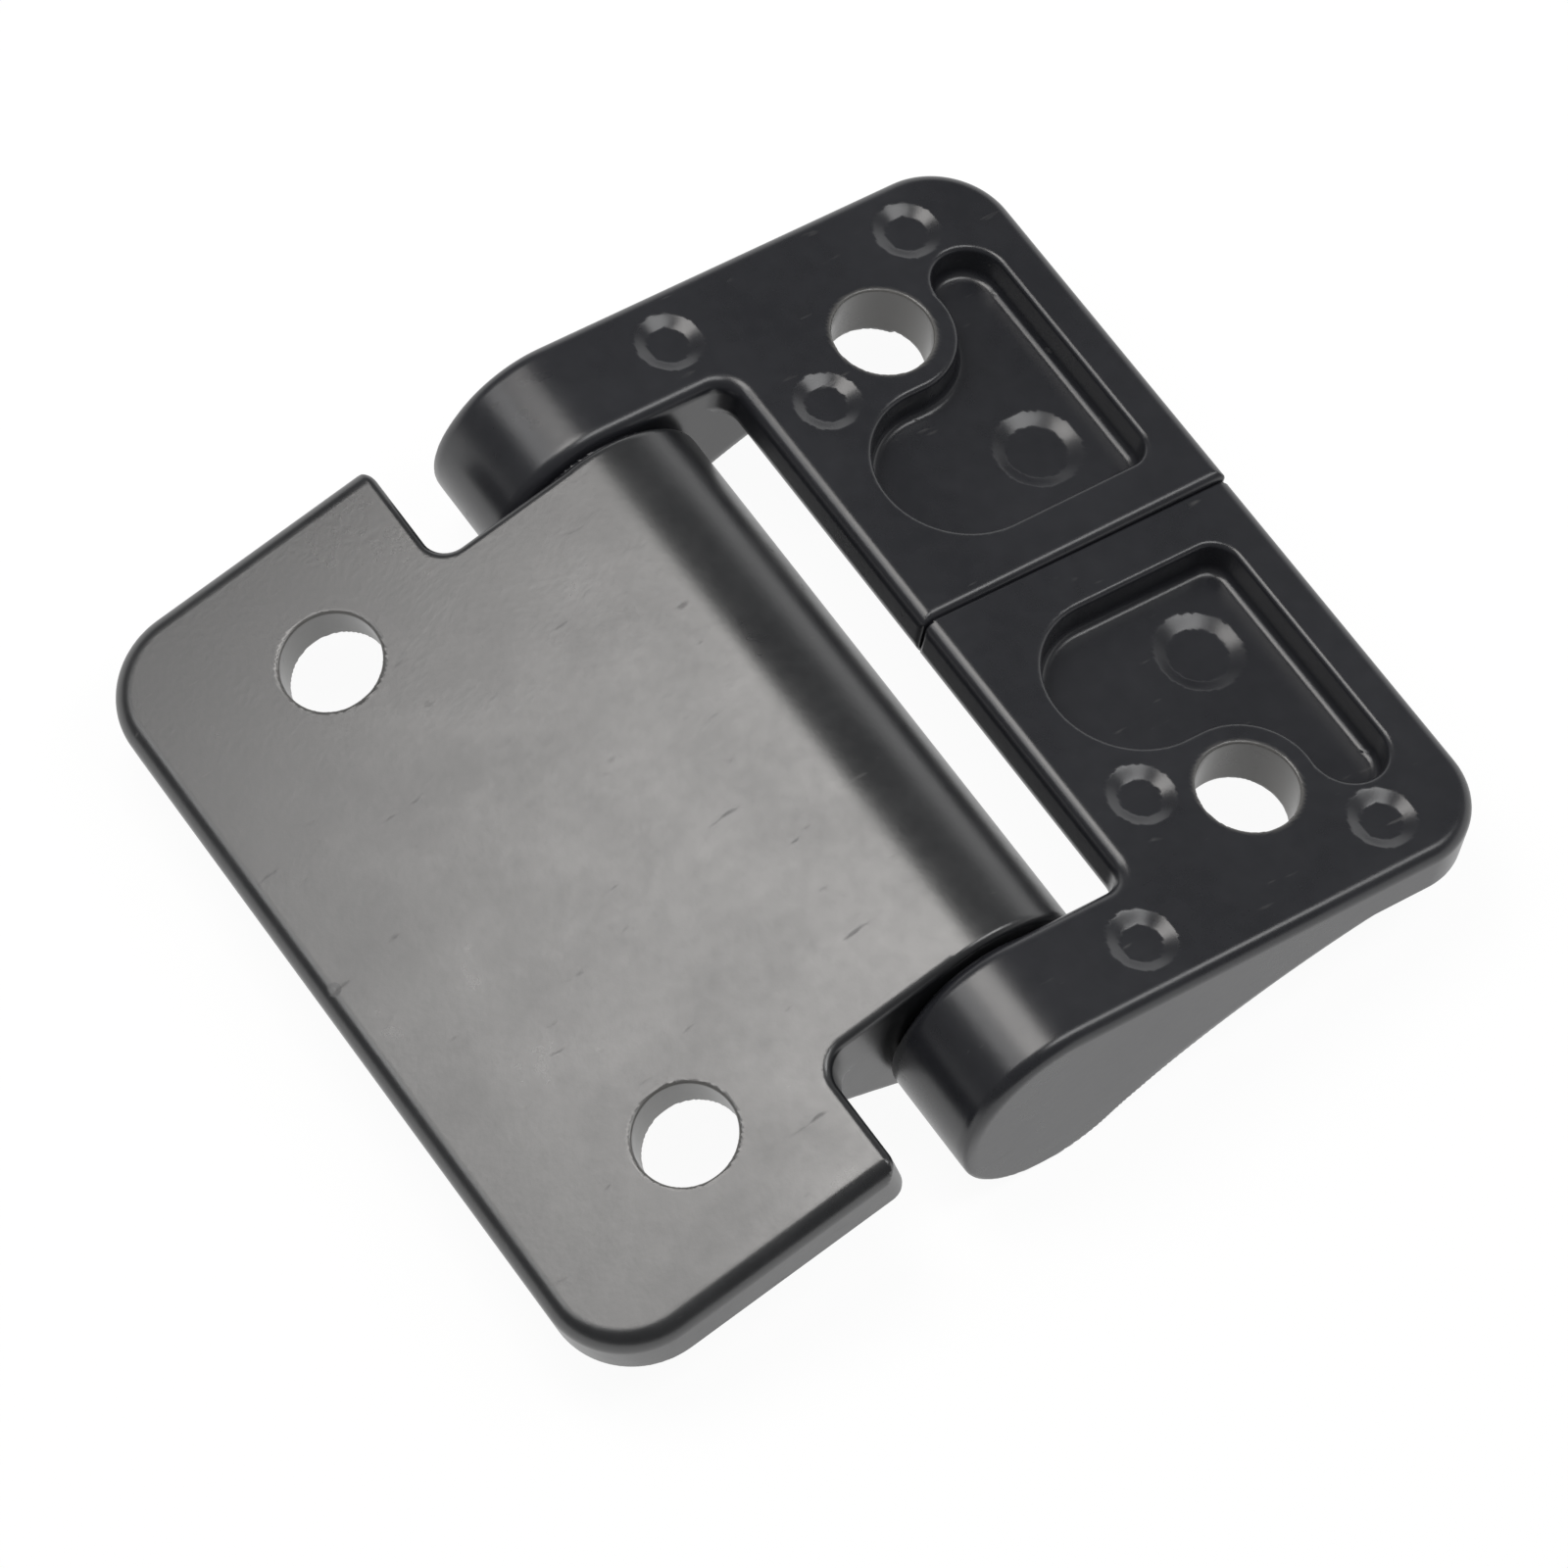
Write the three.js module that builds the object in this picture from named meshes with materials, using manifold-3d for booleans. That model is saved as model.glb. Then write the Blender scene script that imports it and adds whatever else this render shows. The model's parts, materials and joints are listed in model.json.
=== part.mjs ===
// Die-cast door hinge: a T-shaped centre leaf, a fork leaf cast as two mirrored halves, and the steel pin
// that joins them. Millimetres, +Z up. The pin lies along Y, the centre leaf reaches toward -X and the fork
// halves toward +X.
//
// Each casting is drawn in its own flat frame, with the pin along the frame's Y axis and the casting's broad
// face level at the height of the barrel's top. The groups at the end of the file fold it to where it rests.

import * as THREE from 'three';
import * as BufferGeometryUtils from 'three/addons/utils/BufferGeometryUtils.js';
import Module from 'manifold-3d';

const wasm = await Module();
wasm.setup();

// ---------------------------------------------------------------- driving dimensions

const WIDTH = 60;                  // along the pin, over both leaves
const REACH = 33.2;                // from the pin's axis to either leaf's outer edge
const BARREL_D = 14.6;             // outside of the knuckle and of the two arms' barrels
const PLATE_T = 4;                 // thickness of both leaves' plates

const HOLE_D = 6.8;                // clears an M6 screw
const HOLE_SPACING = 40;           // along the pin, the same in both leaves
const HOLE_INSET = 13.2;           // from either leaf's outer edge to the hole centres

const ARM_W = 8.2;                 // each fork arm, along the pin
const ARM_BOSS = 0.3;              // how far the arm's thrust boss stands into the slot
const END_PLAY = 0.3;              // between the thrust boss and the knuckle's end
const KNUCKLE_BOSS = 0.5;          // how far the knuckle's end stands out from the neck's side

const NOTCH_ROOM = 3.5;            // between an arm's barrel and the body of the centre leaf
const SLOT_ROOM = 1.9;             // between the knuckle and the fork's web
const NECK_RUNOUT = 16.4;          // from the pin's axis to where the slope under the neck meets the plate
const ARM_RUNOUT = 22.6;           // the same for the slope under an arm

const PIN_D = 6;
const PIN_CHAMFER = 0.6;
const BORE_CLEARANCE = 0.25;       // round the pin, on the radius
const PIN_END_FLOAT = 0.4;         // between the pin's end and the bottom of its blind bore
const BORE_CAP = 3;                // metal left over the end of the blind bore

const SPLIT_GAP = 0.3;             // between the two fork halves

const CENTRE_CORNER_R = 6;         // plan corners of the centre leaf
const CENTRE_EDGE_R = 1.3;         // its rounded top edge
const NOTCH_OUTER_R = 1.6;
const NOTCH_INNER_R = 1.2;

const FORK_CORNER_R = 5.5;         // plan corners of the fork halves
const FORK_EDGE_R = 1;             // their rounded top edge
const SPLIT_CORNER_R = 1.1;
const SLOT_CORNER_R = 2.2;
const BOSS_EDGE_R = 0.3;           // broken edge on the knuckle's end and on the thrust bosses

const POCKET_DEPTH = 2.6;
const POCKET_OUTER_RIM = 3.2;      // wall left along the outer edge
const POCKET_SPLIT_RIM = 3.6;      // wall left along the split
const POCKET_SLOT_RIM = 3.8;       // wall left along the slot
const POCKET_TAIL = 0.7;           // how far the narrow channel runs on past the screw hole's centre
const POCKET_CORNER_R = 1.8;       // the corner beside the split and the outer edge
const HOLE_BOSS_WALL = 1.6;        // metal kept round a screw hole where the pocket passes it

const MARK_DEPTH = 0.25;           // ejector-pin rings
const SMALL_MARK_R = [1.15, 2.1];  // inner and outer radius
const LARGE_MARK_R = [1.9, 3];
const MARK_INSET = 4;              // from the end face to the two marks on each arm
const ARM_MARK_REACH = 7.4;        // from the pin's axis to the mark beside the barrel
const CORNER_MARK_INSET = 7.1;     // from the outer edge to the mark in the corner
const WEB_MARK = [-6.3, -2.8];     // from the screw hole's centre, across and along the pin
const LARGE_MARK_INSET = 8.3;      // from the outer edge to the mark on the pocket's floor
const LARGE_MARK_Y = 8.9;          // the same mark, from the split

const LEAN = 12.5;                 // how far the centre leaf's outer edge hangs below level, degrees
const FOLD_FAR = 22;               // how far the +Y half is folded down from flat, degrees
const FOLD_NEAR = 23;              // the same for the -Y half

// Values worked out from the driving dimensions.
const BARREL_R = BARREL_D / 2;
const TOP = BARREL_R;              // broad faces are level with the barrel's top
const UNDER = TOP - PLATE_T;
const HALF = WIDTH / 2;
const HOLE_Y = HOLE_SPACING / 2;
const HOLE_REACH = REACH - HOLE_INSET;
const SLOT_END = HALF - ARM_W;
const BOSS_Y = SLOT_END - ARM_BOSS;
const KNUCKLE_HALF = BOSS_Y - END_PLAY;
const NECK_HALF = KNUCKLE_HALF - KNUCKLE_BOSS;
const NOTCH_REACH = BARREL_R + NOTCH_ROOM;
const SLOT_REACH = BARREL_R + SLOT_ROOM;
const PIN_HALF = HALF - BORE_CAP - PIN_END_FLOAT;
const BORE_R = PIN_D / 2 + BORE_CLEARANCE;

const TUCK = 0.05;                 // what joins a neck or an arm lies this far inside its skin
const ROUND = 48;                  // segments in a full barrel or bore
const ARC = 4;                     // curve divisions in a plan corner
const MARK_ROUND = 24;             // segments in an ejector-pin ring
const EDGE_STEPS = 3;              // segments in a rounded edge
const PAST = 1;                    // how far a cutter runs past what it cuts

// ---------------------------------------------------------------- materials

const coated = new THREE.MeshStandardMaterial({ color: 0x1b1d20, roughness: 0.3, metalness: 0.15 });
const rubbed = new THREE.MeshStandardMaterial({ color: 0x3a3b3c, roughness: 0.5, metalness: 0.35 });
const steel = new THREE.MeshStandardMaterial({ color: 0xb4b6b8, roughness: 0.3, metalness: 1 });

// ---------------------------------------------------------------- solids

function toSolid(geometry) {
  let g = geometry.clone();
  g.deleteAttribute('normal');
  g.deleteAttribute('uv');
  g = BufferGeometryUtils.mergeVertices(g, 1e-4);
  return new wasm.Manifold(new wasm.Mesh({
    numProp: 3,
    vertProperties: new Float32Array(g.attributes.position.array),
    triVerts: new Uint32Array(g.index.array),
  }));
}

function toGeometry(solid) {
  const mesh = solid.getMesh();
  const g = new THREE.BufferGeometry();
  g.setAttribute('position', new THREE.BufferAttribute(mesh.vertProperties, 3));
  g.setIndex(new THREE.BufferAttribute(mesh.triVerts, 1));
  g.computeVertexNormals();
  return g;
}

// A plan outline (x across the pin, y along it) raised from low to high, with its top edge rounded. The
// rounding at the bottom falls below low and is cut away.
function plate(shape, low, high, edgeR) {
  const g = new THREE.ExtrudeGeometry(shape, {
    depth: high - low - edgeR,
    bevelSize: edgeR,
    bevelThickness: edgeR,
    bevelOffset: -edgeR,
    bevelSegments: EDGE_STEPS,
    curveSegments: ARC,
  });
  g.translate(0, 0, low);
  const under = block([-2 * REACH, -WIDTH, low - PLATE_T], [2 * REACH, WIDTH, low]);
  return toSolid(g).subtract(under);
}

// A side profile (x across the pin, y upward) run along the pin from one station to another, with the edges
// of both ends rounded.
function bar(shape, from, to, edgeR) {
  const g = new THREE.ExtrudeGeometry(shape, {
    depth: to - from - 2 * edgeR,
    bevelSize: edgeR,
    bevelThickness: edgeR,
    bevelOffset: -edgeR,
    bevelSegments: EDGE_STEPS,
    curveSegments: ROUND / 4,
  });
  g.rotateX(Math.PI / 2);
  g.translate(0, to - edgeR, 0);
  return toSolid(g);
}

function block(low, high) {
  const size = high.map((value, i) => value - low[i]);
  const g = new THREE.BoxGeometry(...size);
  g.translate(...high.map((value, i) => (value + low[i]) / 2));
  return toSolid(g);
}

function upright(x, y, radius, low, high, segments = ROUND) {
  const g = new THREE.CylinderGeometry(radius, radius, high - low, segments);
  g.rotateX(Math.PI / 2);
  g.translate(x, y, (low + high) / 2);
  return toSolid(g);
}

// A round bar along the pin's axis whose end edges are cut back by the chamfer.
function roundBar(radius, from, to, chamfer) {
  const profile = [
    new THREE.Vector2(0, from),
    new THREE.Vector2(radius - chamfer, from),
    new THREE.Vector2(radius, from + chamfer),
    new THREE.Vector2(radius, to - chamfer),
    new THREE.Vector2(radius - chamfer, to),
    new THREE.Vector2(0, to),
  ];
  return new THREE.LatheGeometry(profile, ROUND);
}

function bore(from, to) {
  const g = new THREE.CylinderGeometry(BORE_R, BORE_R, to - from, ROUND);
  g.translate(0, (from + to) / 2, 0);
  return toSolid(g);
}

// ---------------------------------------------------------------- outlines

// Joins corner points with straight lines, and rounds each corner by its own radius: [x, y, radius].
function roundedOutline(corners) {
  const shape = new THREE.Shape();
  corners.forEach(([x, y, radius], i) => {
    const before = corners[(i + corners.length - 1) % corners.length];
    const after = corners[(i + 1) % corners.length];
    const here = new THREE.Vector2(x, y);
    const back = new THREE.Vector2(before[0], before[1]).sub(here).normalize();
    const ahead = new THREE.Vector2(after[0], after[1]).sub(here).normalize();
    const halfAngle = Math.acos(THREE.MathUtils.clamp(back.dot(ahead), -1, 1)) / 2;
    const run = radius / Math.tan(halfAngle);
    const start = here.clone().addScaledVector(back, run);
    const end = here.clone().addScaledVector(ahead, run);
    if (i === 0) shape.moveTo(start.x, start.y);
    else shape.lineTo(start.x, start.y);
    if (radius === 0) return;
    const inward = back.clone().add(ahead).normalize();
    const centre = here.clone().addScaledVector(inward, radius / Math.sin(halfAngle));
    const clockwise = back.cross(ahead) > 0;
    const angle = (point) => Math.atan2(point.y - centre.y, point.x - centre.x);
    shape.absarc(centre.x, centre.y, radius, angle(start), angle(end), clockwise);
  });
  return shape;
}

// The barrel's circle with a level top and a straight slope under it, which leaves the circle at a tangent
// and meets the plate's underside at runout. It reaches toward +X.
function teardrop(runout) {
  const distance = Math.hypot(runout, UNDER);
  const slope = Math.atan2(UNDER, runout) + Math.asin(BARREL_R / distance);
  const tangent = slope - Math.PI / 2;
  const shape = new THREE.Shape();
  shape.moveTo(runout, UNDER);
  shape.lineTo(runout, TOP);
  shape.lineTo(0, TOP);
  shape.absarc(0, 0, BARREL_R, Math.PI / 2, tangent, false);
  return shape;
}

function mirrored(shape) {
  const points = shape.getPoints(ROUND / 4);
  return new THREE.Shape(points.map((point) => new THREE.Vector2(-point.x, point.y)));
}

function centreOutline() {
  const neck = NECK_HALF - TUCK;
  const side = (sign) => [
    [0, sign * neck, 0],
    [-NOTCH_REACH, sign * neck, NOTCH_INNER_R],
    [-NOTCH_REACH, sign * HALF, NOTCH_OUTER_R],
    [-REACH, sign * HALF, CENTRE_CORNER_R],
  ];
  return roundedOutline([...side(1), ...side(-1).reverse()]);
}

function forkOutline() {
  const rim = HALF - TUCK;
  const slotEnd = SLOT_END + TUCK;
  return roundedOutline([
    [SLOT_REACH, SPLIT_GAP / 2, SPLIT_CORNER_R],
    [REACH, SPLIT_GAP / 2, SPLIT_CORNER_R],
    [REACH, rim, FORK_CORNER_R],
    [BARREL_R / 2, rim, 0],
    [BARREL_R / 2, slotEnd, 0],
    [SLOT_REACH, slotEnd, SLOT_CORNER_R],
  ]);
}

// The pocket has a wide round lobe beside the split, swings round the screw hole's boss and ends in a narrow
// channel beside the outer edge. A straight line joins the boss to the lobe, touching both. It lies along -X,
// unless the lobe's centre is past the hole's: then it swings down by turn.
function pocketOutline() {
  const inner = SLOT_REACH + POCKET_SLOT_RIM;
  const outer = REACH - POCKET_OUTER_RIM;
  const low = POCKET_SPLIT_RIM;
  const bossR = HOLE_D / 2 + HOLE_BOSS_WALL;
  const lobeR = (HOLE_Y - bossR - low) / 2;
  const channelR = (outer - HOLE_REACH - bossR) / 2;
  const tail = HOLE_Y + POCKET_TAIL;
  const lobeX = inner + lobeR;
  const turn = Math.max(0, 2 * Math.atan2(lobeX - HOLE_REACH, bossR + lobeR));
  const shape = new THREE.Shape();
  shape.moveTo(lobeX, low);
  shape.lineTo(outer - POCKET_CORNER_R, low);
  shape.absarc(outer - POCKET_CORNER_R, low + POCKET_CORNER_R, POCKET_CORNER_R, -Math.PI / 2, 0, false);
  shape.lineTo(outer, tail);
  shape.absarc(outer - channelR, tail, channelR, 0, Math.PI, false);
  shape.absarc(HOLE_REACH, HOLE_Y, bossR, 0, turn - Math.PI / 2, true);
  shape.absarc(lobeX, low + lobeR, lobeR, turn + Math.PI / 2, 3 * Math.PI / 2, false);
  return shape;
}

// ---------------------------------------------------------------- castings

function screwHole(x, y) {
  return upright(x, y, HOLE_D / 2, UNDER - PAST, TOP + PAST);
}

function ejectorMark([x, y], [innerR, outerR], face) {
  const ring = upright(x, y, outerR, face - MARK_DEPTH, face + PAST, MARK_ROUND);
  return ring.subtract(upright(x, y, innerR, face - PLATE_T, face + 2 * PAST, MARK_ROUND));
}

function centreLeaf() {
  let body = plate(centreOutline(), UNDER, TOP, CENTRE_EDGE_R);
  body = body.add(bar(mirrored(teardrop(NECK_RUNOUT)), -NECK_HALF, NECK_HALF, CENTRE_EDGE_R));
  body = body.add(toSolid(roundBar(BARREL_R - TUCK, -KNUCKLE_HALF, KNUCKLE_HALF, BOSS_EDGE_R)));
  for (const side of [-1, 1]) body = body.subtract(screwHole(-HOLE_REACH, side * HOLE_Y));
  return body.subtract(bore(-HALF, HALF));
}

function pocket() {
  const g = new THREE.ExtrudeGeometry(pocketOutline(), {
    depth: POCKET_DEPTH + PAST,
    bevelEnabled: false,
    curveSegments: 2 * ARC,
  });
  g.translate(0, 0, TOP - POCKET_DEPTH);
  return toSolid(g);
}

// The half on the +Y side of the split; the other one is its mirror image.
function forkHalf() {
  let body = plate(forkOutline(), UNDER, TOP, FORK_EDGE_R);
  body = body.add(bar(teardrop(ARM_RUNOUT), SLOT_END, HALF, FORK_EDGE_R));
  body = body.add(toSolid(roundBar(BARREL_R - TUCK, BOSS_Y, HALF - FORK_EDGE_R, BOSS_EDGE_R)));
  body = body.subtract(pocket());
  body = body.subtract(screwHole(HOLE_REACH, HOLE_Y));
  const smallMarks = [
    [ARM_MARK_REACH, HALF - MARK_INSET],
    [REACH - CORNER_MARK_INSET, HALF - MARK_INSET],
    [HOLE_REACH + WEB_MARK[0], HOLE_Y + WEB_MARK[1]],
  ];
  for (const centre of smallMarks) body = body.subtract(ejectorMark(centre, SMALL_MARK_R, TOP));
  const largeMark = [REACH - LARGE_MARK_INSET, LARGE_MARK_Y];
  body = body.subtract(ejectorMark(largeMark, LARGE_MARK_R, TOP - POCKET_DEPTH));
  return body.subtract(bore(0, HALF - BORE_CAP));
}

function hingePin() {
  return roundBar(PIN_D / 2, -PIN_HALF, PIN_HALF, PIN_CHAMFER);
}

// ---------------------------------------------------------------- assembly

function named(name, geometry, material) {
  const mesh = new THREE.Mesh(geometry, material);
  mesh.name = name;
  return mesh;
}

function folded(degreesDown, ...children) {
  const group = new THREE.Group();
  group.rotation.y = THREE.MathUtils.degToRad(degreesDown);
  group.add(...children);
  return group;
}

const farHalf = forkHalf();
const nearHalf = farHalf.mirror([0, 1, 0]);

const hinge = new THREE.Group();
hinge.position.z = BARREL_R;
hinge.add(
  folded(
    -LEAN,
    named('centre_leaf', toGeometry(centreLeaf()), rubbed),
    named('hinge_pin', hingePin(), steel),
  ),
  folded(FOLD_FAR - LEAN, named('fork_half_far', toGeometry(farHalf), coated)),
  folded(FOLD_NEAR - LEAN, named('fork_half_near', toGeometry(nearHalf), coated)),
);

export default hinge;
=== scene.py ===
"""Door hinge: the smooth castings, their coats and a white studio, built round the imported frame.

Each casting is a distance field in its own flat frame: millimetres, the pin along Y through the origin, and
the broad face level at the height of the barrel's top. The field is meshed, drawn onto its exact surface,
folded to the angle that its mount gives, and turned into metres.
"""

import json
import math

import bmesh
import bpy
import numpy as np
import openvdb
from mathutils import Matrix, Vector

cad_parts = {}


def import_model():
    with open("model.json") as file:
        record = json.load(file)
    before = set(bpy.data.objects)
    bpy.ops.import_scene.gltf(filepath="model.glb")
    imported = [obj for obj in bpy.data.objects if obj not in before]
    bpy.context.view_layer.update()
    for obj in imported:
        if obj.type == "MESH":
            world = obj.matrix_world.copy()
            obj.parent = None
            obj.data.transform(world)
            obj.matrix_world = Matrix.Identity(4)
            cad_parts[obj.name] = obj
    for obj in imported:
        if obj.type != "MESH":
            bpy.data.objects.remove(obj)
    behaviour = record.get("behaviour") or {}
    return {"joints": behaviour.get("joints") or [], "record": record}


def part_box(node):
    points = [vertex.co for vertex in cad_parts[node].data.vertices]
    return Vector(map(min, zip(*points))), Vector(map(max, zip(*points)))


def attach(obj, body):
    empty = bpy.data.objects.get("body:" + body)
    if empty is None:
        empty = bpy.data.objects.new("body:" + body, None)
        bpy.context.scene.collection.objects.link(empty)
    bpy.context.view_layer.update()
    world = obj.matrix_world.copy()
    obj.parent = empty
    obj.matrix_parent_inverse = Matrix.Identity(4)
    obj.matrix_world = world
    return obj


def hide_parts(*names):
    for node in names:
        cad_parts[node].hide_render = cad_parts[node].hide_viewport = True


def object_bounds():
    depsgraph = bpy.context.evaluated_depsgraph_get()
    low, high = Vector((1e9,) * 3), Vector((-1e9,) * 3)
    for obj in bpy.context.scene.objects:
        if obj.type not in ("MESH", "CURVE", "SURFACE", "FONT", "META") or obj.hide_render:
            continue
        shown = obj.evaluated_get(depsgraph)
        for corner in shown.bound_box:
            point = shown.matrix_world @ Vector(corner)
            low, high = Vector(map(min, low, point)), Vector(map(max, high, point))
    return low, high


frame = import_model()
cad_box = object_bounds()

MM = 0.001
PIN_AXIS = Vector((0, 0, frame["joints"][0]["pos_m"][2]))

# ---------------------------------------------------------------- sizes, in millimetres

HALF = round(cad_box[1][1] / MM, 3)                 # half the width along the pin, over both leaves
BARREL_R = round(PIN_AXIS.z / MM, 3)                # the hinge rests on its barrel
PIN_HALF = round(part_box("hinge_pin")[1][1] / MM, 3)
REACH = 33.2                       # from the pin's axis to either leaf's outer edge
PLATE_T = 4
HOLE_R = 3.33
HOLE_Y = 20
HOLE_INSET = 13.2                  # from either leaf's outer edge to the hole centres

ARM_W = 8.2
ARM_BOSS = 0.3                     # how far the arm's thrust boss stands into the slot
ARM_BOSS_R = 6.3
END_PLAY = 0.16                    # from a boss to the knuckle
NOTCH_ROOM = 3.5                   # from the barrel to the notch beside the neck
SLOT_ROOM = 1.9                    # from the barrel to the fork's web
PIN_R = 3
PIN_CHAMFER = 0.6
PIN_SIDES = 96
BORE_R = 3.25
BORE_CAP = 3                       # what is left of an arm beyond its blind bore
SPLIT_GAP = 0.06

CENTRE_CORNER_R = 6
CENTRE_EDGE_R = 1.3
CENTRE_UNDER_R = 0.3
NOTCH_EDGE_R = 0.6
HOLE_RELIEF = 0.8                  # countersink under the centre leaf's holes
NOTCH_OUTER_R = 1.3
NOTCH_INNER_R = 1.8
FORK_CORNER_R = 5.5
FORK_EDGE_R = 1
FORK_UNDER_R = 0.3
SLOT_UNDER_R = 1.6
SPLIT_CORNER_R = 0.35
SPLIT_EDGE_R = 0.7                 # on the far half; the near half stays sharp there
SHARP_R = 0.05                     # an edge that looks sharp
SLOT_CORNER_R = 1.5
BOSS_EDGE_R = 0.25
KNUCKLE_EDGE_R = 0.5
HOLE_RIM_R = 0.18
BORE_RIM_R = 0.2
SPOT_RIM = 1                       # how far round its hole the arm's slope is faced off
SPOT_DROP = 0.25                   # from the plate's underside down to that facing

POCKET_DEPTH = 2.6
POCKET_OUTER_RIM = 3.2             # what is left between the pocket and the leaf's outer edge
POCKET_SPLIT_RIM = 3.6
POCKET_SLOT_RIM = 3.8
POCKET_TAIL = 0.7                  # how far the channel runs past the hole's centre before its round end
POCKET_CORNER_R = 1.8
POCKET_FLOOR_R = 0.6
POCKET_RIM_R = 0.4
POCKET_DRAFT = 0.06                # how far a wall leans out for each millimetre that it rises
HOLE_BOSS_WALL = 1.6               # round a hole, where the pocket passes it

MARK_DEPTH = 0.42                  # ejector-pin dishes
SMALL_MARK_R = (1.35, 2.3)         # radius of the flat middle, and over the sloping wall
LARGE_MARK_R = (2.0, 3.05)
MARK_SOFT = 0.12                   # from 0, a straight sloping wall, to 1, an S-curve
MARK_INSET = 4                     # from the end face
ARM_MARK_REACH = 7.4               # from the pin's axis
CORNER_MARK_INSET = 7.1            # from the outer edge
WEB_MARK = (-6.3, -2.8)            # from the hole
LARGE_MARK_INSET = 8.3             # from the outer edge
LARGE_MARK_Y = 8.9

# The slope under a neck or an arm: the angle at which it leaves the barrel, how far it first runs straight,
# where it meets the plate, and the handle that draws it level there.
CENTRE_SLOPE = (-50, 4.5, 17.2, (3.9, 1.4))
ARM_SLOPE = (-47, 5.5, 26.5, (6.0, 0.7))

TOP = BARREL_R
UNDER = TOP - PLATE_T
HOLE_REACH = REACH - HOLE_INSET
SLOT_END = HALF - ARM_W
BOSS_Y = SLOT_END - ARM_BOSS
KNUCKLE_HALF = BOSS_Y - END_PLAY
NOTCH_REACH = BARREL_R + NOTCH_ROOM
SLOT_REACH = BARREL_R + SLOT_ROOM

VOXEL = 0.22                       # mesh spacing of the castings
MARGIN = 3                         # voxels kept clear round a casting, and kept of its distances
LAYING_STEPS = 2                   # how often the points are moved onto the exact surface
PAINTED_SHEEN_REACH = 0.3                   # how far the painted sheen on a hole's wall fades out round it
SLOPE_POINTS = 40
PROBE = 0.03                       # half the step that measures a field's slope
LEAST_SLOPE = 0.5                  # keeps a point near a crease from being thrown far


# ---------------------------------------------------------------- fields

def fillet(a, b, radius):
    """Both solids, with the hollow corner between them filled by a round."""
    reach = np.hypot(np.maximum(radius - a, 0), np.maximum(radius - b, 0))
    return np.maximum(radius, np.minimum(a, b)) - reach


def rounded(a, b, radius):
    """What two solids share, with the edge between them rounded."""
    reach = np.hypot(np.maximum(radius + a, 0), np.maximum(radius + b, 0))
    return np.minimum(-radius, np.maximum(a, b)) + reach


def bezier(points, count):
    """Points along the curve that four handles draw."""
    t = np.linspace(0, 1, count)[:, None]
    a, b, c, d = np.array(points, float)
    return (1 - t) ** 3 * a + 3 * (1 - t) ** 2 * t * b + 3 * (1 - t) * t**2 * c + t**3 * d


def inside_polygon(u, v, points):
    """Signed distance from (u, v) to a closed outline, negative inside."""
    nearest = np.full(np.broadcast(u, v).shape, np.inf)
    inside = np.zeros(nearest.shape, bool)
    for (au, av), (bu, bv) in zip(points, np.roll(points, -1, axis=0)):
        du, dv = bu - au, bv - av
        share = np.clip(((u - au) * du + (v - av) * dv) / (du * du + dv * dv), 0, 1)
        nearest = np.minimum(nearest, np.hypot(u - au - share * du, v - av - share * dv))
        if dv != 0:
            crosses = (v >= min(av, bv)) & (v < max(av, bv)) & (u < au + (v - av) * du / dv)
            inside ^= crosses
    return np.where(inside, -nearest, nearest)


def side_profile(u, z, slope):
    """The barrel and what joins it to its plate, seen along the pin; u runs from the pin toward the plate."""
    degrees, straight, runout, handle = slope
    angle = math.radians(degrees)
    start = (BARREL_R * math.cos(angle), BARREL_R * math.sin(angle))
    lead = (start[0] - straight * math.sin(angle), start[1] + straight * math.cos(angle))
    end = (runout, UNDER)
    level = (runout - handle[0], UNDER - handle[1])
    under = bezier([start, lead, level, end], SLOPE_POINTS)
    outline = np.vstack([[(0, 0)], under, [(runout, TOP), (0, TOP)]])
    return np.minimum(inside_polygon(u, z, outline), np.hypot(u, z) - BARREL_R)


def soft_above(a, b, z, above_r, below_r):
    """What two solids share, with a wide round on the upper edges and a tight one on the lower."""
    share = np.clip((z + BARREL_R / 2) / BARREL_R, 0, 1)
    return share * rounded(a, b, above_r) + (1 - share) * rounded(a, b, below_r)


def dish(x, y, centre, radii):
    """How deep an ejector-pin mark is at (x, y)."""
    inner, outer = radii
    rise = np.clip((np.hypot(x - centre[0], y - centre[1]) - inner) / (outer - inner), 0, 1)
    eased = rise * rise * (3 - 2 * rise)
    return MARK_DEPTH * (1 - eased * MARK_SOFT - rise * (1 - MARK_SOFT))


def centre_leaf(x, y, z):
    """The T-shaped leaf: a plate, and a neck that ends in the knuckle."""
    across = np.abs(y)
    outer = rounded(across - HALF, -x - REACH, CENTRE_CORNER_R)
    body = rounded(outer, x + NOTCH_REACH, NOTCH_OUTER_R)
    neck_plan = np.maximum(across - KNUCKLE_HALF, np.maximum(x, -x - HOLE_REACH))
    plan = fillet(body, neck_plan, NOTCH_INNER_R)
    plate = np.maximum(rounded(outer, z - TOP, CENTRE_EDGE_R), rounded(plan, z - TOP, NOTCH_EDGE_R))
    plate = np.maximum(plate, rounded(plan, UNDER - z, CENTRE_UNDER_R))
    profile = side_profile(-x, z, CENTRE_SLOPE)
    neck = soft_above(profile, across - KNUCKLE_HALF, z, NOTCH_EDGE_R, CENTRE_UNDER_R)
    knuckle = rounded(np.hypot(x, z) - BARREL_R, across - KNUCKLE_HALF, KNUCKLE_EDGE_R)
    solid = np.minimum(np.minimum(plate, neck), knuckle)
    relief = np.maximum(UNDER + HOLE_RELIEF - z, 0)
    hole = np.hypot(x + HOLE_REACH, across - HOLE_Y) - HOLE_R - relief
    solid = rounded(solid, -hole, HOLE_RIM_R)
    return rounded(solid, BORE_R - np.hypot(x, z), BORE_RIM_R)


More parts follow.
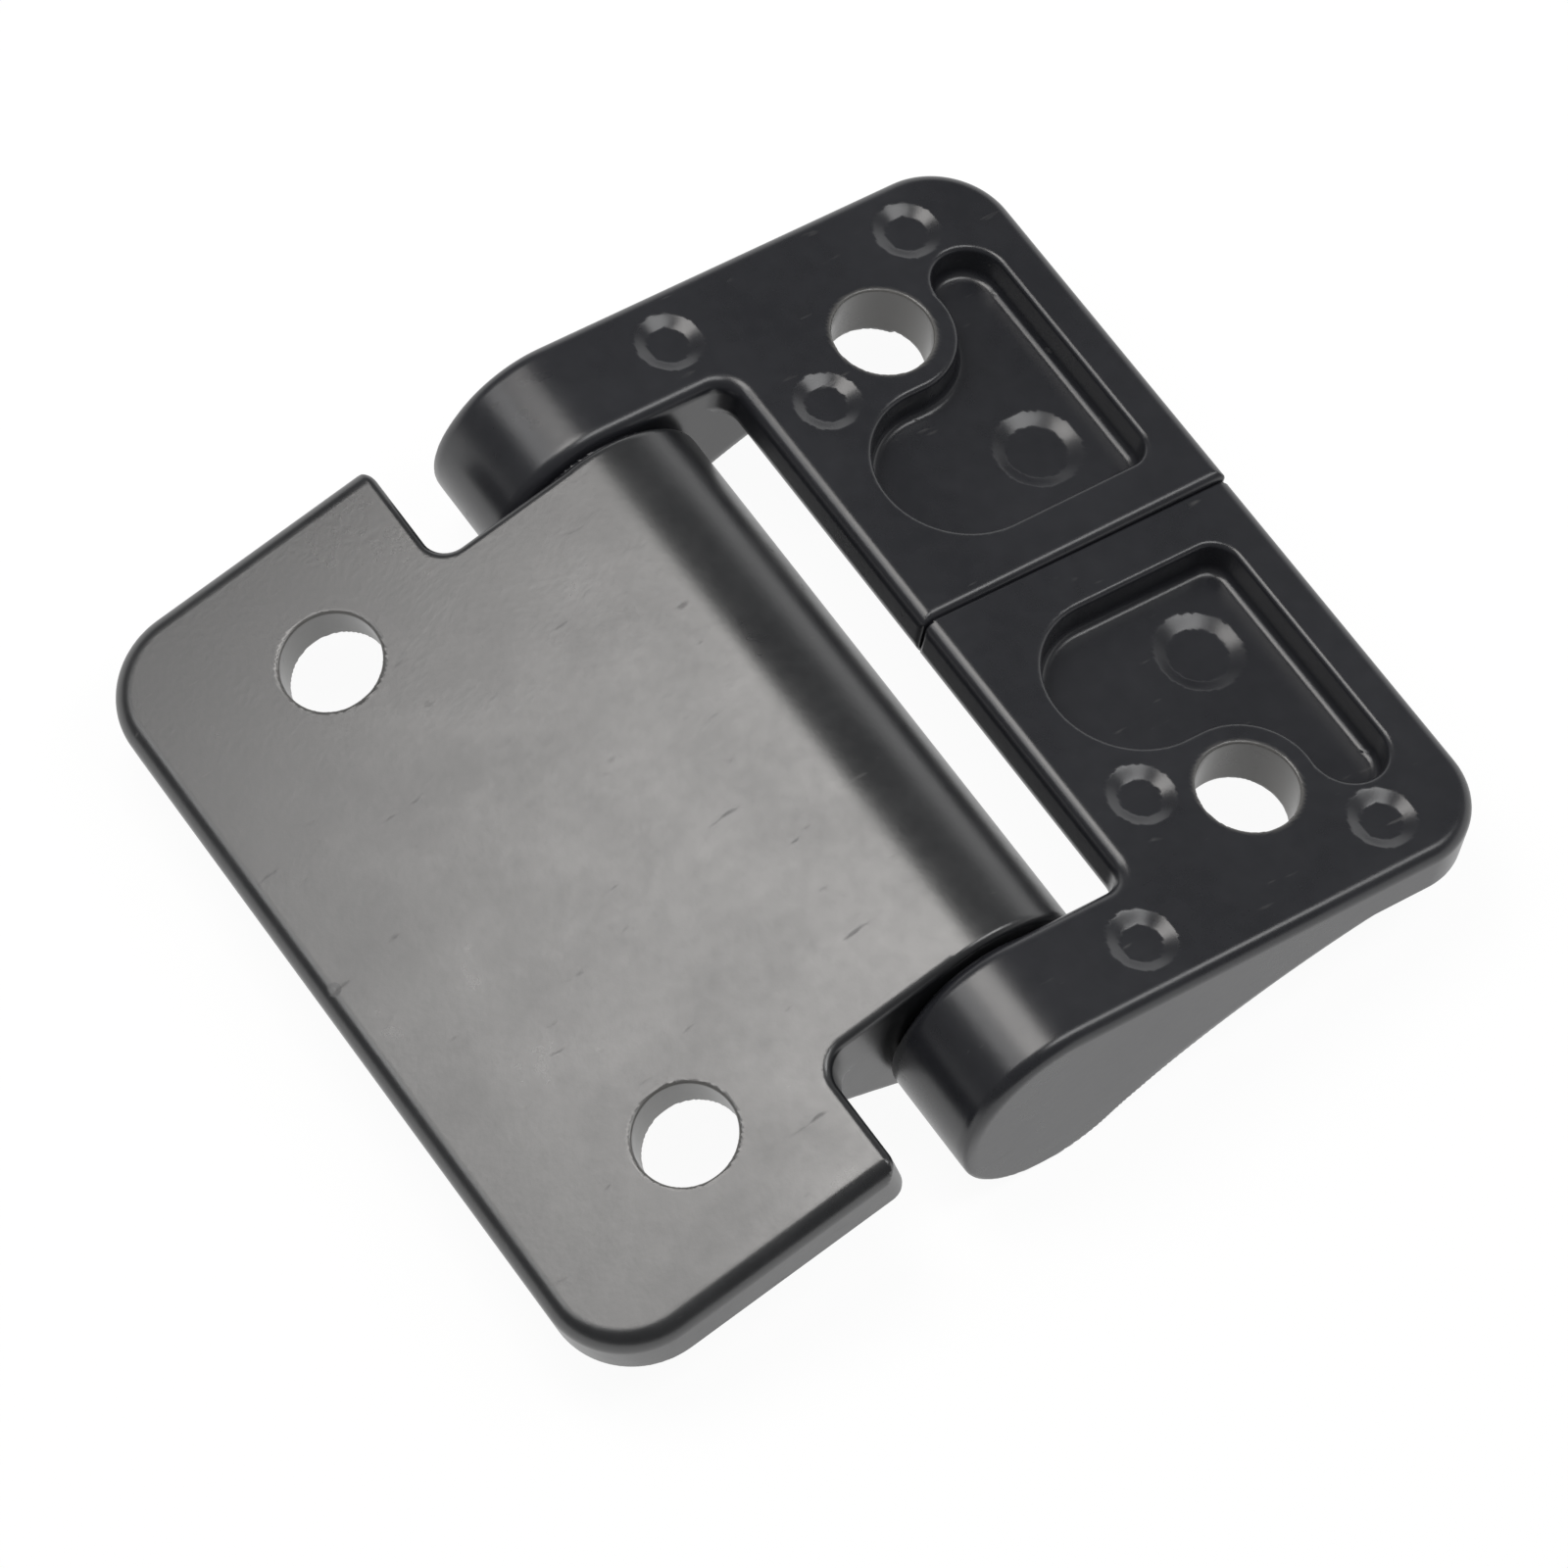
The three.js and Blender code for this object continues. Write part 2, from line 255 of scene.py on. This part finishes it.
def pocket(x, y, z):
    """The hollow of the pocket: a lobe beside the split, a channel beside the outer edge, and the hole's boss
    left standing between them."""
    inner = SLOT_REACH + POCKET_SLOT_RIM
    outer = REACH - POCKET_OUTER_RIM
    boss_r = HOLE_R + HOLE_BOSS_WALL
    lobe_r = (HOLE_Y - boss_r - POCKET_SPLIT_RIM) / 2
    channel_r = (outer - HOLE_REACH - boss_r) / 2
    tail = HOLE_Y + POCKET_TAIL
    lobe = np.hypot(x - inner - lobe_r, y - POCKET_SPLIT_RIM - lobe_r) - lobe_r
    wide = rounded(x - outer, POCKET_SPLIT_RIM - y, POCKET_CORNER_R)
    low = np.maximum(wide, np.maximum(inner + lobe_r - x, y - HOLE_Y + boss_r))
    high = np.maximum(wide, np.maximum(HOLE_REACH - x, y - tail))
    channel_end = np.hypot(x - outer + channel_r, y - tail) - channel_r
    plan = np.minimum(np.minimum(lobe, low), np.minimum(high, channel_end))
    plan = np.maximum(plan, boss_r - np.hypot(x - HOLE_REACH, y - HOLE_Y))
    large_mark = (REACH - LARGE_MARK_INSET, LARGE_MARK_Y)
    floor = TOP - POCKET_DEPTH - dish(x, y, large_mark, LARGE_MARK_R)
    walls = plan + POCKET_DRAFT * (TOP - z)
    return rounded(walls, floor - z, POCKET_FLOOR_R)


def fork_half(x, y, z, split_edge_r=SPLIT_EDGE_R):
    """The half on the +Y side of the split."""
    split = SPLIT_GAP / 2 - y
    outer = rounded(x - REACH, y - HALF, FORK_CORNER_R)
    inner = fillet(SLOT_REACH - x, SLOT_END - y, SLOT_CORNER_R)
    slab = rounded(z - TOP, split, split_edge_r)
    for plan, under_r in ((outer, FORK_UNDER_R), (np.maximum(inner, -x), SLOT_UNDER_R)):
        slab = np.maximum(slab, rounded(plan, z - TOP, FORK_EDGE_R))
        slab = np.maximum(slab, rounded(plan, UNDER - z, under_r))
        slab = np.maximum(slab, rounded(plan, split, SPLIT_CORNER_R))
    arm_width = np.maximum(SLOT_END - y, y - HALF)
    arm = soft_above(side_profile(x, z, ARM_SLOPE), arm_width, z, FORK_EDGE_R, FORK_UNDER_R)
    boss_length = np.maximum(BOSS_Y - y, y - HALF + FORK_EDGE_R)
    boss = rounded(np.hypot(x, z) - ARM_BOSS_R, boss_length, BOSS_EDGE_R)
    solid = np.minimum(np.minimum(slab, arm), boss)
    marks = [
        (ARM_MARK_REACH, HALF - MARK_INSET),
        (REACH - CORNER_MARK_INSET, HALF - MARK_INSET),
        (HOLE_REACH + WEB_MARK[0], HOLE_Y + WEB_MARK[1]),
    ]
    for centre in marks:
        solid = np.maximum(solid, z - TOP + dish(x, y, centre, SMALL_MARK_R))
    solid = rounded(solid, -pocket(x, y, z), POCKET_RIM_R)
    hole = np.hypot(x - HOLE_REACH, y - HOLE_Y) - HOLE_R
    solid = rounded(solid, -hole, HOLE_RIM_R)
    spot = np.maximum(hole - SPOT_RIM, z - UNDER + SPOT_DROP)
    solid = rounded(solid, -spot, HOLE_RIM_R)
    bore = np.maximum(np.hypot(x, z) - BORE_R, y - HALF + BORE_CAP)
    return rounded(solid, -bore, BORE_RIM_R)


def mirrored_half(x, y, z):
    """The half on the -Y side, whose edge at the split is sharp."""
    return fork_half(x, -y, z, SHARP_R)


# ---------------------------------------------------------------- meshes

def slope_of(field, points):
    """The field's slope at each point."""
    slope = np.empty_like(points)
    for axis in range(3):
        step = np.zeros(3)
        step[axis] = PROBE
        slope[:, axis] = (field(*(points + step).T) - field(*(points - step).T)) / (2 * PROBE)
    return slope


def polygons(field, low, high):
    """Points and four-sided faces of the surface where the field is zero, inside the box."""
    band = MARGIN * VOXEL
    low = np.array(low) - band
    high = np.array(high) + band
    axes = [np.arange(a, b, VOXEL) for a, b in zip(low, high)]
    x, y, z = np.ix_(*axes)
    values = np.clip(field(x, y, z), -band, band).astype(np.float32)
    grid = openvdb.FloatGrid(band)
    grid.copyFromArray(values)
    points, quads = grid.convertToQuads(isovalue=0.0)
    return points * VOXEL + low, quads


def casting(name, field, low, high, fold, material, body, hole_x):
    """Meshes a field, lays its points on the exact surface, and folds it about the pin. It marks a painted
    sheen on the walls of the holes, which lie at hole_x, standing in for the white floor that they mirror."""
    points, quads = polygons(field, low, high)
    points = points.astype(float)
    for _ in range(LAYING_STEPS):
        slope = slope_of(field, points)
        size = np.maximum((slope**2).sum(1, keepdims=True), LEAST_SLOPE**2)
        points -= field(*points.T)[:, None] * slope / size
    normals = slope_of(field, points)
    normals /= np.linalg.norm(normals, axis=1, keepdims=True)
    # painted sheen: how strongly each point on a hole's wall is lightened
    from_hole = np.hypot(points[:, 0] - hole_x, np.abs(points[:, 1]) - HOLE_Y) - HOLE_R
    hole_sheen = np.clip(1 - np.abs(from_hole) / PAINTED_SHEEN_REACH, 0, 1)
    turn = np.array(Matrix.Rotation(fold, 3, "Y"))
    points = points @ turn.T * MM + np.array(PIN_AXIS)
    normals = normals @ turn.T
    mesh = bpy.data.meshes.new(name)
    mesh.from_pydata(points.tolist(), [], quads.tolist())
    mesh.update()
    first = mesh.polygons[0]
    if first.normal.dot(Vector(normals[first.vertices[0]])) < 0:
        mesh.flip_normals()
    mesh.shade_smooth()
    mesh.normals_split_custom_set_from_vertices(normals.tolist())
    mesh.attributes.new("painted_sheen", "FLOAT", "POINT").data.foreach_set("value", hole_sheen)
    return finished(name, mesh, material, body)


def finished(name, mesh, material, body):
    """The mesh as a piece of its body."""
    mesh.materials.append(material)
    piece = bpy.data.objects.new(name, mesh)
    bpy.context.scene.collection.objects.link(piece)
    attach(piece, body)
    return piece


def fold_of(mount):
    """The angle by which a mount's face is folded down toward +X."""
    axis = next(m["axis"] for m in frame["record"]["mounts"] if m["name"] == mount)
    return math.atan2(axis[0], axis[2])


# ---------------------------------------------------------------- materials

BLOTCH_SHARE = 0.72                # of the coat's drift; finer blotches make up the rest
FINE_SCALE = 9                     # times the scale of the large blotches
DRIFT = (0.35, 0.65)               # where the noise goes over from the dark tone to the light
DRIFT_GLOSS = (0.3, 0.7)           # where it goes over from smooth to rough
SCUFF = (0.08, 0.08, 0.08, 1)
SCUFF_COVER = 0.5
SCUFF_ROUGHNESS = 0.15
SCUFF_TURN = (0.3, 0.5, 1.1)
SCUFF_SCALE = (170, 1500, 1500)
SCUFF_NOISE = (0.70, 0.78)         # only the noise's few peaks show
# painted sheen: the light warm grey laid on the holes' walls, standing in for the white floor that they
# mirror
PAINTED_SHEEN_COLOUR = (0.17, 0.167, 0.16, 1)
PEEL_HEIGHT = 0.5                  # in units of SKIN_HEIGHT, like the pits' depth
PIT_R = (0.008, 0.024)             # shares of the space between pits
PIT_DEPTH = 3.0
SKIN_STRENGTH = 0.2
SKIN_HEIGHT = 0.00005              # metres
DARK_STEEL = (0.44, 0.45, 0.46, 1)
LIGHT_STEEL = (0.60, 0.61, 0.62, 1)
STEEL_GLOSS = (0.22, 0.38)
RING_STRENGTH = 0.1
RING_HEIGHT = 0.00003              # metres
WHITE = (1, 1, 1, 1)
PAPER = (0.9, 0.9, 0.9, 1)


class Nodes:
    """A short way to add and link shader nodes."""

    def __init__(self, tree):
        self.tree = tree
        tree.nodes.clear()

    def put(self, socket, value):
        """Links a socket to the value, or stores the value in it."""
        if isinstance(value, bpy.types.NodeSocket):
            self.tree.links.new(value, socket)
        else:
            socket.default_value = value

    def add(self, kind, **inputs):
        node = self.tree.nodes.new(kind)
        for name, value in inputs.items():
            self.put(node.inputs[name.replace("_", " ")], value)
        return node

    def where(self):
        """The shaded point, in the object's own metres."""
        return self.add("ShaderNodeTexCoord").outputs["Object"]

    def noise(self, scale, detail=3.0, roughness=0.5):
        node = self.add(
            "ShaderNodeTexNoise", Vector=self.where(), Scale=scale, Detail=detail, Roughness=roughness,
        )
        return node.outputs["Fac"]

    def ramp(self, value, low, high, start, end):
        node = self.add(
            "ShaderNodeMapRange", Value=value, From_Min=low, From_Max=high, To_Min=start, To_Max=end,
        )
        return node.outputs["Result"]

    def maths(self, operation, a, b):
        node = self.tree.nodes.new("ShaderNodeMath")
        node.operation = operation
        self.put(node.inputs[0], a)
        self.put(node.inputs[1], b)
        return node.outputs[0]

    def mix(self, factor, a, b):
        """One colour over another, by the factor."""
        node = self.tree.nodes.new("ShaderNodeMix")
        node.data_type = "RGBA"
        by_name = {socket.identifier: socket for socket in node.inputs}
        self.put(by_name["Factor_Float"], factor)
        self.put(by_name["A_Color"], a)
        self.put(by_name["B_Color"], b)
        return next(socket for socket in node.outputs if socket.identifier == "Result_Color")

    def mix_shaders(self, factor, a, b):
        node = self.tree.nodes.new("ShaderNodeMixShader")
        for socket, value in zip(node.inputs, (factor, a.outputs[0], b.outputs[0])):
            self.put(socket, value)
        return node.outputs[0]

    def finish(self, surface, kind="ShaderNodeOutputMaterial"):
        self.add(kind, Surface=surface)


def new_material(name):
    material = bpy.data.materials.new(name)
    material.use_nodes = True
    return material, Nodes(material.node_tree)


def scuff_marks(nodes):
    """Where a few fine scuff marks lie, all running about one way."""
    drawn_out = nodes.add(
        "ShaderNodeMapping", Vector=nodes.where(), Rotation=SCUFF_TURN, Scale=SCUFF_SCALE,
    )
    noise = nodes.add("ShaderNodeTexNoise", Vector=drawn_out.outputs["Vector"], Scale=1.0, Detail=2.0)
    return nodes.ramp(noise.outputs["Fac"], *SCUFF_NOISE, 0.0, 1.0)


def coat(name, dark, light, ior, shine, gloss, blotch, peel, specks):
    """Black coat on a casting. Its colour and roughness drift in soft blotches, scuffs lighten it, a painted
    sheen lightens the walls of the holes where they mirror the white floor, and its skin has a fine orange
    peel with a few pits."""
    material, nodes = new_material(name)
    large = nodes.noise(blotch, 4.0, 0.55)
    fine = nodes.noise(blotch * FINE_SCALE, 2.0)
    drift = nodes.maths(
        "ADD", nodes.maths("MULTIPLY", large, BLOTCH_SHARE), nodes.maths("MULTIPLY", fine, 1 - BLOTCH_SHARE),
    )
    scuffs = scuff_marks(nodes)
    hole_sheen = nodes.add("ShaderNodeAttribute")
    hole_sheen.attribute_name = "painted_sheen"

    colour = nodes.mix(nodes.ramp(drift, *DRIFT, 0.0, 1.0), dark, light)
    colour = nodes.mix(nodes.maths("MULTIPLY", scuffs, SCUFF_COVER), colour, SCUFF)
    # painted sheen on the holes' walls, in place of the floor's reflection
    colour = nodes.mix(hole_sheen.outputs["Fac"], colour, PAINTED_SHEEN_COLOUR)
    rough = nodes.ramp(drift, *DRIFT_GLOSS, *gloss)
    rough = nodes.maths("ADD", rough, nodes.maths("MULTIPLY", scuffs, SCUFF_ROUGHNESS))

    cells = nodes.add("ShaderNodeTexVoronoi", Vector=nodes.where(), Scale=specks)
    pits = nodes.ramp(cells.outputs["Distance"], *PIT_R, -PIT_DEPTH, 0.0)
    skin = nodes.maths("ADD", nodes.maths("MULTIPLY", nodes.noise(peel, 2.0), PEEL_HEIGHT), pits)
    bump = nodes.add("ShaderNodeBump", Strength=SKIN_STRENGTH, Distance=SKIN_HEIGHT, Height=skin)

    shader = nodes.add(
        "ShaderNodeBsdfPrincipled", IOR=ior, Specular_IOR_Level=shine,
        Base_Color=colour, Roughness=rough, Normal=bump.outputs["Normal"],
    )
    nodes.finish(shader.outputs["BSDF"])
    return material


def ground_steel():
    """Plain steel with fine turned rings along its length."""
    material, nodes = new_material("ground_steel")
    rings = nodes.add("ShaderNodeTexWave", Vector=nodes.where(), Scale=1500.0, Distortion=1.0)
    rings.bands_direction = "Y"
    height = rings.outputs["Fac"]
    bump = nodes.add("ShaderNodeBump", Strength=RING_STRENGTH, Distance=RING_HEIGHT, Height=height)
    shader = nodes.add(
        "ShaderNodeBsdfPrincipled", Metallic=1.0,
        Base_Color=nodes.mix(nodes.noise(300.0), DARK_STEEL, LIGHT_STEEL),
        Roughness=nodes.ramp(nodes.noise(900.0), *DRIFT_GLOSS, *STEEL_GLOSS),
        Normal=bump.outputs["Normal"],
    )
    nodes.finish(shader.outputs["BSDF"])
    return material


# ---------------------------------------------------------------- the pieces

def hinge_pin(material):
    """A straight round pin with chamfered ends."""
    profile = [
        (0, -PIN_HALF), (PIN_R - PIN_CHAMFER, -PIN_HALF), (PIN_R, PIN_CHAMFER - PIN_HALF),
        (PIN_R, PIN_HALF - PIN_CHAMFER), (PIN_R - PIN_CHAMFER, PIN_HALF), (0, PIN_HALF),
    ]
    points, faces = [], []
    for radius, y in profile:
        for i in range(PIN_SIDES):
            angle = 2 * math.pi * i / PIN_SIDES
            points.append(Vector((radius * math.cos(angle), y, radius * math.sin(angle))) * MM + PIN_AXIS)
    for ring in range(len(profile) - 1):
        for i in range(PIN_SIDES):
            j = (i + 1) % PIN_SIDES
            a, b = ring * PIN_SIDES, (ring + 1) * PIN_SIDES
            faces.append((a + i, b + i, b + j, a + j))
    mesh = bpy.data.meshes.new("pin")
    mesh.from_pydata(points, [], faces)
    mesh.update()
    work = bmesh.new()
    work.from_mesh(mesh)
    bmesh.ops.remove_doubles(work, verts=work.verts, dist=1e-6)
    bmesh.ops.recalc_face_normals(work, faces=work.faces)
    work.to_mesh(mesh)
    work.free()
    mesh.shade_smooth()
    mesh.set_sharp_from_angle(angle=math.radians(30))
    piece = finished("pin", mesh, material, "centre")
    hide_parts("hinge_pin")


def build():
    satin = coat(
        "satin_coat", dark=(0.015, 0.016, 0.018, 1), light=(0.022, 0.023, 0.025, 1),
        ior=1.6, shine=0.86, gloss=(0.26, 0.36), blotch=130.0, peel=2600.0, specks=50.0,
    )
    gloss = coat(
        "gloss_coat", dark=(0.018, 0.019, 0.023, 1), light=(0.025, 0.026, 0.031, 1),
        ior=1.5, shine=0.72, gloss=(0.25, 0.32), blotch=90.0, peel=1500.0, specks=65.0,
    )
    leaf = casting(
        "leaf", centre_leaf, (-REACH, -HALF, -BARREL_R), (BARREL_R, HALF, TOP),
        fold_of("centre_leaf_face"), satin, "centre", -HOLE_REACH,
    )
    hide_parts("centre_leaf")
    far = casting(
        "fork_far", fork_half, (-BARREL_R, 0, -BARREL_R), (REACH, HALF, TOP),
        fold_of("fork_face_far"), gloss, "fork_far", HOLE_REACH,
    )
    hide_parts("fork_half_far")
    near = casting(
        "fork_near", mirrored_half, (-BARREL_R, -HALF, -BARREL_R), (REACH, 0, TOP),
        fold_of("fork_face_near"), gloss, "fork_near", HOLE_REACH,
    )
    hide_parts("fork_half_near")
    hinge_pin(ground_steel())


# ---------------------------------------------------------------- studio

# Lengths are in metres here, unless a comment says otherwise.
CAMERA_TURN = (-33.53, 61.23, 0.66)                # azimuth, elevation and roll, in degrees
CAMERA_AIM = Vector((-1.32, -1.50, 6.22)) * MM
CAMERA_DISTANCE = 0.5099
SENSOR = 36                        # this and LENS in millimetres
LENS = 186.53
LAMP_AIM = Vector((0, 0, 0.008))
KEY_AIM = Vector((-0.006, 0, 0.01))
WARM = (1, 0.975, 0.95)
ZENITH = 0.14                      # the studio's ceiling, where its walls are 1
WALL_LEAN = (-0.15, -0.15, 1)      # the white wall stands higher toward +X and +Y, behind the hinge
WALL_TOP = 0.26
FLOOR_GLOW = 1.03                  # brings the sheet to white where no shadow falls
FLOOR_SHARE = 0.92
FLOOR_SIZE = 6


def camera():
    """The photo's camera, as solved from the hinge's edges and holes."""
    azimuth, elevation, roll = (math.radians(a) for a in CAMERA_TURN)
    back = Vector((
        math.sin(azimuth) * math.cos(elevation),
        -math.cos(azimuth) * math.cos(elevation),
        math.sin(elevation),
    ))
    data = bpy.data.cameras.new("camera")
    data.sensor_width = SENSOR
    data.lens = LENS
    data.clip_start = 0.01
    data.clip_end = 20
    view = bpy.data.objects.new("camera", data)
    bpy.context.scene.collection.objects.link(view)
    level = back.to_track_quat("Z", "Y").to_matrix()
    turn = level @ Matrix.Rotation(-roll, 3, "Z")
    view.matrix_world = Matrix.Translation(CAMERA_AIM + back * CAMERA_DISTANCE) @ turn.to_4x4()
    bpy.context.scene.camera = view


def softbox(name, toward, distance, size, power, aim=LAMP_AIM, colour=(1, 1, 1)):
    """A soft lamp that faces its aim from the direction toward. Its first side lies as near X as it can."""
    lamp = bpy.data.lights.new(name, "AREA")
    lamp.shape = "RECTANGLE"
    lamp.size, lamp.size_y = size
    lamp.energy = power
    lamp.color = colour
    holder = bpy.data.objects.new(name, lamp)
    bpy.context.scene.collection.objects.link(holder)
    direction = Vector(toward).normalized()
    holder.location = aim + direction * distance
    side = (Vector((1, 0, 0)) - direction * direction.x).normalized()
    turn = Matrix((side, direction.cross(side), direction)).transposed()
    holder.rotation_euler = turn.to_euler()


def world():
    """White to the camera. The object is lit by, and mirrors, bright walls under a dim ceiling."""
    made = bpy.data.worlds.new("studio")
    bpy.context.scene.world = made
    made.use_nodes = True
    nodes = Nodes(made.node_tree)
    seen = nodes.add("ShaderNodeLightPath").outputs["Is Camera Ray"]
    white = nodes.add("ShaderNodeBackground", Color=WHITE, Strength=1.0)
    height = nodes.tree.nodes.new("ShaderNodeVectorMath")
    height.operation = "DOT_PRODUCT"
    nodes.put(height.inputs[0], nodes.add("ShaderNodeTexCoord").outputs["Generated"])
    nodes.put(height.inputs[1], WALL_LEAN)
    strength = nodes.ramp(height.outputs["Value"], 0.0, WALL_TOP, 1.0, ZENITH)
    room = nodes.add("ShaderNodeBackground", Color=WHITE, Strength=strength)
    nodes.finish(nodes.mix_shaders(seen, room, white), "ShaderNodeOutputWorld")


def floor():
    """A white sheet under the hinge. It keeps part of the shadow."""
    material, nodes = new_material("white_sheet")
    path = nodes.add("ShaderNodeLightPath")
    seen = nodes.maths("MAXIMUM", path.outputs["Is Camera Ray"], path.outputs["Is Glossy Ray"])
    paper = nodes.add("ShaderNodeBsdfDiffuse", Color=PAPER)
    glow = nodes.add("ShaderNodeEmission", Color=WHITE, Strength=FLOOR_GLOW)
    nodes.finish(nodes.mix_shaders(nodes.maths("MULTIPLY", seen, FLOOR_SHARE), paper, glow))
    bpy.ops.mesh.primitive_plane_add(size=FLOOR_SIZE)
    sheet = bpy.context.object
    sheet.name = "floor"
    sheet.data.materials.append(material)


camera()
world()
floor()
softbox("panel", toward=(-0.46, 0.40, 0.79), distance=0.45, size=(0.13, 0.18), power=0.21)
softbox(
    "key", toward=(-0.07, 0.283, 0.955), distance=0.26, size=(0.12, 0.13), power=0.27,
    aim=KEY_AIM, colour=WARM,
)
softbox("side", toward=(0.42, -0.27, 0.86), distance=0.45, size=(0.34, 0.14), power=0.62)
build()

bpy.context.scene.view_settings.view_transform = "Standard"
